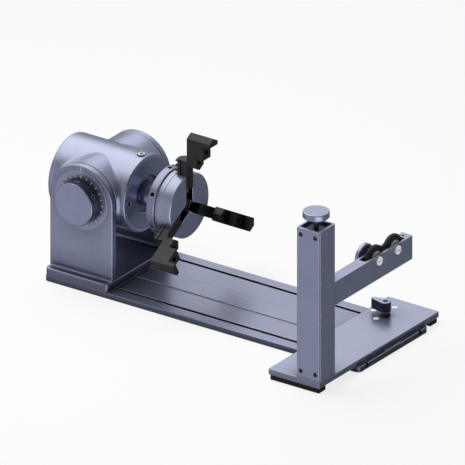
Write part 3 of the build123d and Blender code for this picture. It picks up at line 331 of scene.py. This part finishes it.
steel = dict(roughness=0.26, metallic=0.9, edge_light=0.4)
finishes = {
    "anodised": anodised("anodised"),
    "anodised_top": anodised("anodised_top", streak=brushing, recesses=((0.006, 1.4), (0.03, 1.2))),
    "black_steel": metal_finish("black_steel", (0.0165, 0.0178, 0.0190), 0.40, 0.0, edge_light=0.12, clouds=0.25),
    "bright_steel": metal_finish("bright_steel", (0.90, 0.90, 0.93), 0.20, 0.75, edge_light=0.3),
    "dark_screw": metal_finish("dark_screw", (0.11, 0.115, 0.15), 0.35, 0.6, edge_light=0.2,
                               recesses=((0.003, 2.6),)),
    "bearing_steel": metal_finish("bearing_steel", (0.55, 0.56, 0.62), **steel),
    "bronze": metal_finish("bronze", (0.50, 0.33, 0.14), 0.34, 0.9),
    "motor_case": metal_finish("motor_case", (0.022, 0.022, 0.026), 0.45, 0.0, edge_light=0.15),
    "rubber": metal_finish("rubber", (0.012, 0.012, 0.013), 0.62, 0.0, grain=900.0, bump=0.35, edge_light=0.03,
                           clouds=0.2),
}
# Per piece: the recesses, slots, hollows and dark sides are painted shade
node_finishes = {
    "base_plate": anodised("base_metal", base_blue, streak=brushing, recesses=((0.006, 0.8), (0.05, 1.8)),
                           slots=(slot_offset, slot_half, boxes["base_plate"][0][2] + slot_top, painted_slot_shade)),
    "clamp_boss": metal_finish("boss_metal", boss_blue, 0.4, 0.8, edge_light=0.1),
    # Painted light: the screws glow though they are no lamp
    "plate_screws": metal_finish("plate_screw_metal", (0.90, 0.92, 0.96), 0.3, 0.3, recesses=((0.004, 0.5),),
                                 glow=0.2),
    "lift_knob": anodised("lift_knob_metal", turned=(middles["lift_knob"], z_axis), recesses=()),
    "yoke": anodised("yoke_metal", recesses=((0.006, 1.6), (0.055, 1.9))),
    "head_housing": anodised("head_metal", recesses=((0.006, 1.6), (0.03, 0.4))),
    "column_top_block": anodised("block_metal", recesses=((0.02, 3.0),)),
    "clamp_lever": anodised("lever_metal", sides=(z_axis, lever_side_shade)),
    "tilt_knob": anodised("tilt_knob_metal", sides=(toward_front, knob_rim_shade)),
    "chuck_body": anodised("chuck_metal", turned=(spindle_line, x_axis),
                           hollow=(chuck_face, x_axis, chuck_radius - chuck_rim, painted_hollow_shade)),
    "spindle": metal_finish("spindle_metal", spindle_blue, turned=(spindle_line, x_axis), **steel),
}
for name, axis, colour in (("scroll_ring", x_axis, ring_blue), ("front_cap", x_axis, blue_grey),
                           ("rear_cover", x_axis, blue_grey), ("dial_disc", y_axis, blue_grey),
                           ("thumb_nut", x_axis, blue_grey)):
    node_finishes[name] = anodised(name + "_metal", colour, turned=(middles[name], axis))
# Painted light: the rollers' bearings and axles glow though they are no lamp
for name in ("roller_bearing_1", "roller_bearing_2"):
    node_finishes[name] = metal_finish(name + "_metal", (0.62, 0.63, 0.66), 0.3, 0.3, recesses=((0.003, 0.6),),
                                       turned=(middles[name], x_axis), glow=0.10)
for name in ("roller_axle_1", "roller_axle_2"):
    node_finishes[name] = metal_finish(name + "_metal", (0.93, 0.93, 0.96), 0.3, 0.2, edge_light=0.2,
                                       turned=(middles[name], x_axis), glow=0.26)

for part in frame["record"]["subparts"]:
    shape = nodes[part["node"]]
    shape.data.materials.clear()
    shape.data.materials.append(node_finishes.get(part["node"], finishes[part["material_slot"]]))


# Fine pieces

def add_piece(name, points, faces, material, body, material_slot):
    """A mesh piece that moves with a body of the frame."""
    mesh = bpy.data.meshes.new(name)
    mesh.from_pydata(points, [], faces)
    shape = bmesh.new()
    shape.from_mesh(mesh)
    bmesh.ops.recalc_face_normals(shape, faces=shape.faces)
    shape.to_mesh(mesh)
    shape.free()
    mesh.materials.append(material)
    piece = bpy.data.objects.new(name, mesh)
    bpy.context.scene.collection.objects.link(piece)
    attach(piece, body)


def radial_bar(points, faces, centre, face_y, angle, inner, outer):
    """A thin bar that points away from the centre, standing on a face that looks along -Y."""
    out = Vector((sin(angle), 0.0, cos(angle)))
    side = Vector((cos(angle), 0.0, -sin(angle)))
    half = dial_mark_width / 2
    first = len(points)
    for y in (face_y + mark_sink, face_y - mark_height):
        for radius, across in ((inner, -half), (outer, -half), (outer, half), (inner, half)):
            place = centre + out * radius + side * across
            points.append((place.x, y, place.z))
    faces.extend(tuple(first + corner for corner in face) for face in box_faces)


def make_dial():
    """The degree marks round the dial, and the index line above it on the cheek."""
    # Painted light: the marks glow a little though they are no lamp
    paint = metal_finish("mark_paint", (0.82, 0.84, 0.92), 0.5, 0.0, edge_light=0.0, clouds=0.02, glow=0.1,
                         recesses=())
    centre = Vector(middles["dial_disc"])
    dial_face = boxes["dial_disc"][0][1]
    cheek_face = boxes["yoke"][0][1] + cheek_inset
    marks = ([], [])
    for step in range(dial_steps):
        length = dial_long_mark if step % long_mark_every == 0 else dial_mark
        radial_bar(*marks, centre, dial_face, 2 * pi * step / dial_steps, dial_mark_inner, dial_mark_inner + length)
    add_piece("dial_marks", *marks, paint, "head", "bright_steel")
    index = ([], [])
    radial_bar(*index, centre, cheek_face, 0.0, index_inner, index_outer)
    add_piece("dial_index", *index, paint, "base", "bright_steel")


# Stage

def camera_white(stage, lit, target, share=1.0):
    """Plain white to the camera and through glass, as a share over what is lit."""
    path = stage.node("ShaderNodeLightPath")
    white = stage.node("ShaderNodeEmission", Strength=1.0)
    seen = stage.math("MAXIMUM", path.outputs["Is Camera Ray"], path.outputs["Is Transmission Ray"])
    stage.feed(target, stage.mix_shaders(lit, white.outputs[0], stage.math("MULTIPLY", seen, share)))


def make_floor():
    """A pale floor that takes soft shadows; reflections pass it and see the studio below."""
    mesh = bpy.data.meshes.new("floor")
    corners = [(-floor_half, -floor_half), (floor_half, -floor_half), (floor_half, floor_half),
               (-floor_half, floor_half)]
    mesh.from_pydata([(x, y, -floor_drop) for x, y in corners], [], [(0, 1, 2, 3)])
    floor = bpy.data.objects.new("floor", mesh)
    bpy.context.scene.collection.objects.link(floor)
    pale = Shader("floor_white", floor_colour, floor_roughness)
    path = pale.node("ShaderNodeLightPath")
    clear = pale.node("ShaderNodeBsdfTransparent")
    passing = pale.mix_shaders(pale.main.outputs[0], clear.outputs[0], path.outputs["Is Glossy Ray"])
    camera_white(pale, passing, pale.tree.nodes["Material Output"].inputs["Surface"], floor_white)
    mesh.materials.append(pale.material)


def make_world():
    """The studio as the metal mirrors it, and white to the camera."""
    world = bpy.data.worlds.new("studio")
    bpy.context.scene.world = world
    world.use_nodes = True
    studio = Nodes(world.node_tree)
    where = studio.node("ShaderNodeTexCoord").outputs["Generated"]
    total = studio_base
    for direction, rim, full, strength, tint in studio_patches:
        facing = studio.vector("DOT_PRODUCT", where, Vector(direction).normalized())
        patch = studio.spread(facing, rim, full, 0.0, strength, "SMOOTHSTEP")
        total = studio.vector("MULTIPLY_ADD", patch, tint, total)
    background = studio.tree.nodes["Background"]
    studio.feed(background.inputs["Color"], total)
    camera_white(studio, background.outputs[0], studio.tree.nodes["World Output"].inputs["Surface"])


def make_lamp():
    """A soft box above, that the metal doesn't mirror."""
    data = bpy.data.lights.new("top_box", "AREA")
    data.shape = "RECTANGLE"
    data.size, data.size_y = lamp_size
    data.energy = lamp_power
    lamp = bpy.data.objects.new("top_box", data)
    lamp.location = lamp_place
    lamp.rotation_euler = (Vector(lamp_aim) - Vector(lamp_place)).to_track_quat("-Z", "Y").to_euler()
    lamp.visible_glossy = False
    bpy.context.scene.collection.objects.link(lamp)


def make_camera():
    data = bpy.data.cameras.new("camera")
    data.type = "ORTHO"
    data.ortho_scale = view_width
    camera = bpy.data.objects.new("camera", data)
    back = Vector((sin(camera_azimuth) * cos(camera_elevation), -cos(camera_azimuth) * cos(camera_elevation),
                   sin(camera_elevation)))
    camera.location = view_centre + back * camera_distance
    camera.rotation_mode = "QUATERNION"
    camera.rotation_quaternion = (-back).to_track_quat("-Z", "Y")
    bpy.context.scene.collection.objects.link(camera)
    bpy.context.scene.camera = camera


make_dial()
make_camera()
make_floor()
make_world()
make_lamp()
bpy.context.scene.view_settings.view_transform = "Standard"
